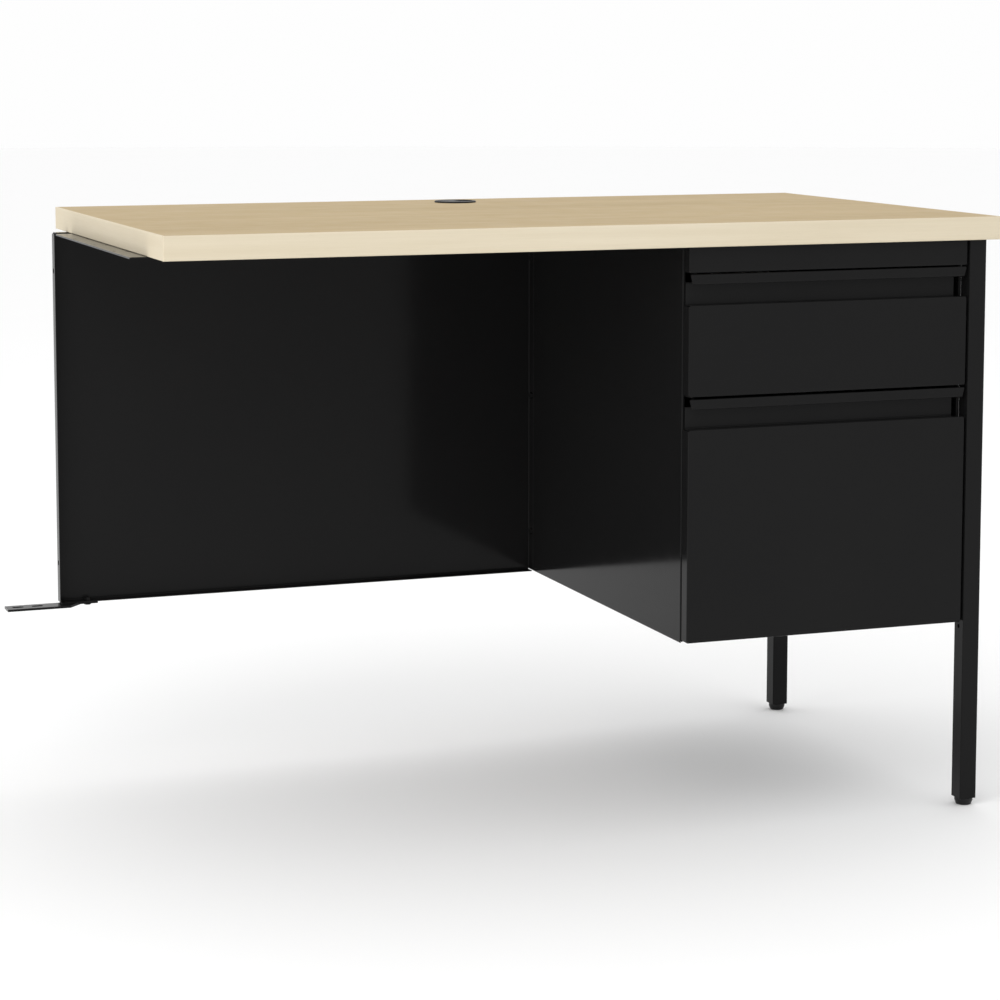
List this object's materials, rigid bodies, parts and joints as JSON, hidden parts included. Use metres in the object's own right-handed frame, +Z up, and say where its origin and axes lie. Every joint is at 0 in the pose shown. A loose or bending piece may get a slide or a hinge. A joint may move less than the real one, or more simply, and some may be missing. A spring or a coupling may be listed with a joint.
{
  "type": "teacher desk return",
  "caption": "Desk return: maple laminate top with cable grommet, black steel pedestal with box and file drawers, two square legs, modesty panel, splice plate and slotted tie bar.",
  "frame": {"origin": "on the floor, at the centre of the unit's footprint (the tie bar's reach included)", "axes": "+X to the right along the top's length, towards the leg end; +Y to the back; +Z up"},
  "size_m": [1.1568, 0.6096, 0.7515],
  "materials": {
    "maple_laminate": "satin laminate",
    "maple_edge": "satin edge band",
    "particle_board": "raw",
    "backer_sheet": "matt",
    "black_paint": "semi-gloss powder coat",
    "slide_steel": "zinc plated",
    "zinc_steel": "zinc plated",
    "black_plastic": "fine texture",
    "glide_plastic": "moulded nylon"
  },
  "bodies": {
    "root": {"back_edge_band": "maple_edge", "backer_sheet": "backer_sheet", "bottom_front_brace": "black_paint", "bottom_rear_brace": "black_paint", "box_slide_outer_left": "slide_steel", "box_slide_outer_right": "slide_steel", "core_board": "particle_board", "file_slide_outer_left": "slide_steel", "file_slide_outer_right": "slide_steel", "front_edge_band": "maple_edge", "front_leg": "black_paint", "front_leg_insert": "zinc_steel", "grommet_liner": "black_plastic", "hex_nuts": "black_paint", "left_edge_band": "maple_edge", "leg_frame_bolts": "zinc_steel", "leg_frame_lower_rail": "black_paint", "leg_frame_top_rail": "black_paint", "modesty_bolts": "black_paint", "modesty_panel": "black_paint", "pedestal_back": "black_paint", "pedestal_left_side": "black_paint", "pedestal_right_side": "black_paint", "pedestal_top_rail": "black_paint", "rear_leg": "black_paint", "rear_leg_insert": "zinc_steel", "right_edge_band": "maple_edge", "tie_bar": "black_paint", "tie_bar_bolt": "black_paint", "top_laminate": "maple_laminate", "top_screws": "zinc_steel", "top_splice_plate": "black_paint"},
    "box_drawer": {"box_drawer_back": "black_paint", "box_drawer_bottom": "black_paint", "box_drawer_front": "black_paint", "box_drawer_inner_front": "black_paint", "box_drawer_left_side": "black_paint", "box_drawer_right_side": "black_paint", "box_slide_inner_left": "slide_steel", "box_slide_inner_right": "slide_steel"},
    "file_drawer": {"file_drawer_back": "black_paint", "file_drawer_bottom": "black_paint", "file_drawer_front": "black_paint", "file_drawer_inner_front": "black_paint", "file_drawer_left_side": "black_paint", "file_drawer_right_side": "black_paint", "file_slide_inner_left": "slide_steel", "file_slide_inner_right": "slide_steel", "file_hanging_rails": "zinc_steel"},
    "box_slide_middles": {"box_slide_middle_left": "slide_steel", "box_slide_middle_right": "slide_steel"},
    "box_outer_cages": {"box_slide_outer_cages": "slide_steel"},
    "box_inner_cages": {"box_slide_inner_cages": "slide_steel"},
    "file_slide_middles": {"file_slide_middle_left": "slide_steel", "file_slide_middle_right": "slide_steel"},
    "file_outer_cages": {"file_slide_outer_cages": "slide_steel"},
    "file_inner_cages": {"file_slide_inner_cages": "slide_steel"},
    "front_glide_foot": {"front_glide": "glide_plastic"},
    "rear_glide_foot": {"rear_glide": "glide_plastic"},
    "grommet_cap_disc": {"grommet_cap": "black_plastic"}
  },
  "joints": [
    {"name": "box_drawer_slide", "type": "slide", "parent": "root", "child": "box_drawer", "axis": [0, -1, 0], "range_m": [0, 0.38]},
    {"name": "box_slide_middles_slide", "type": "slide", "parent": "root", "child": "box_slide_middles", "axis": [0, -1, 0], "range_m": [0, 0.19]},
    {"name": "box_outer_cages_slide", "type": "slide", "parent": "root", "child": "box_outer_cages", "axis": [0, -1, 0], "range_m": [0, 0.095]},
    {"name": "box_inner_cages_slide", "type": "slide", "parent": "root", "child": "box_inner_cages", "axis": [0, -1, 0], "range_m": [0, 0.285]},
    {"name": "file_drawer_slide", "type": "slide", "parent": "root", "child": "file_drawer", "axis": [0, -1, 0], "range_m": [0, 0.49]},
    {"name": "file_slide_middles_slide", "type": "slide", "parent": "root", "child": "file_slide_middles", "axis": [0, -1, 0], "range_m": [0, 0.245]},
    {"name": "file_outer_cages_slide", "type": "slide", "parent": "root", "child": "file_outer_cages", "axis": [0, -1, 0], "range_m": [0, 0.1225]},
    {"name": "file_inner_cages_slide", "type": "slide", "parent": "root", "child": "file_inner_cages", "axis": [0, -1, 0], "range_m": [0, 0.3675]},
    {"name": "front_glide_height", "type": "slide", "parent": "root", "child": "front_glide_foot", "axis": [0, 0, -1], "range_m": [0, 0.012]},
    {"name": "rear_glide_height", "type": "slide", "parent": "root", "child": "rear_glide_foot", "axis": [0, 0, -1], "range_m": [0, 0.012]},
    {"name": "grommet_cap_turn", "type": "hinge", "parent": "root", "child": "grommet_cap_disc", "pos_m": [0.045, 0.2312, 0.7493], "axis": [0, 0, 1], "continuous": true}
  ],
  "couplings": [
    {"joint": "box_slide_middles_slide", "follows": "box_drawer_slide", "ratio": 0.5},
    {"joint": "box_outer_cages_slide", "follows": "box_drawer_slide", "ratio": 0.25},
    {"joint": "box_inner_cages_slide", "follows": "box_drawer_slide", "ratio": 0.75},
    {"joint": "file_slide_middles_slide", "follows": "file_drawer_slide", "ratio": 0.5},
    {"joint": "file_outer_cages_slide", "follows": "file_drawer_slide", "ratio": 0.25},
    {"joint": "file_inner_cages_slide", "follows": "file_drawer_slide", "ratio": 0.75}
  ]
}
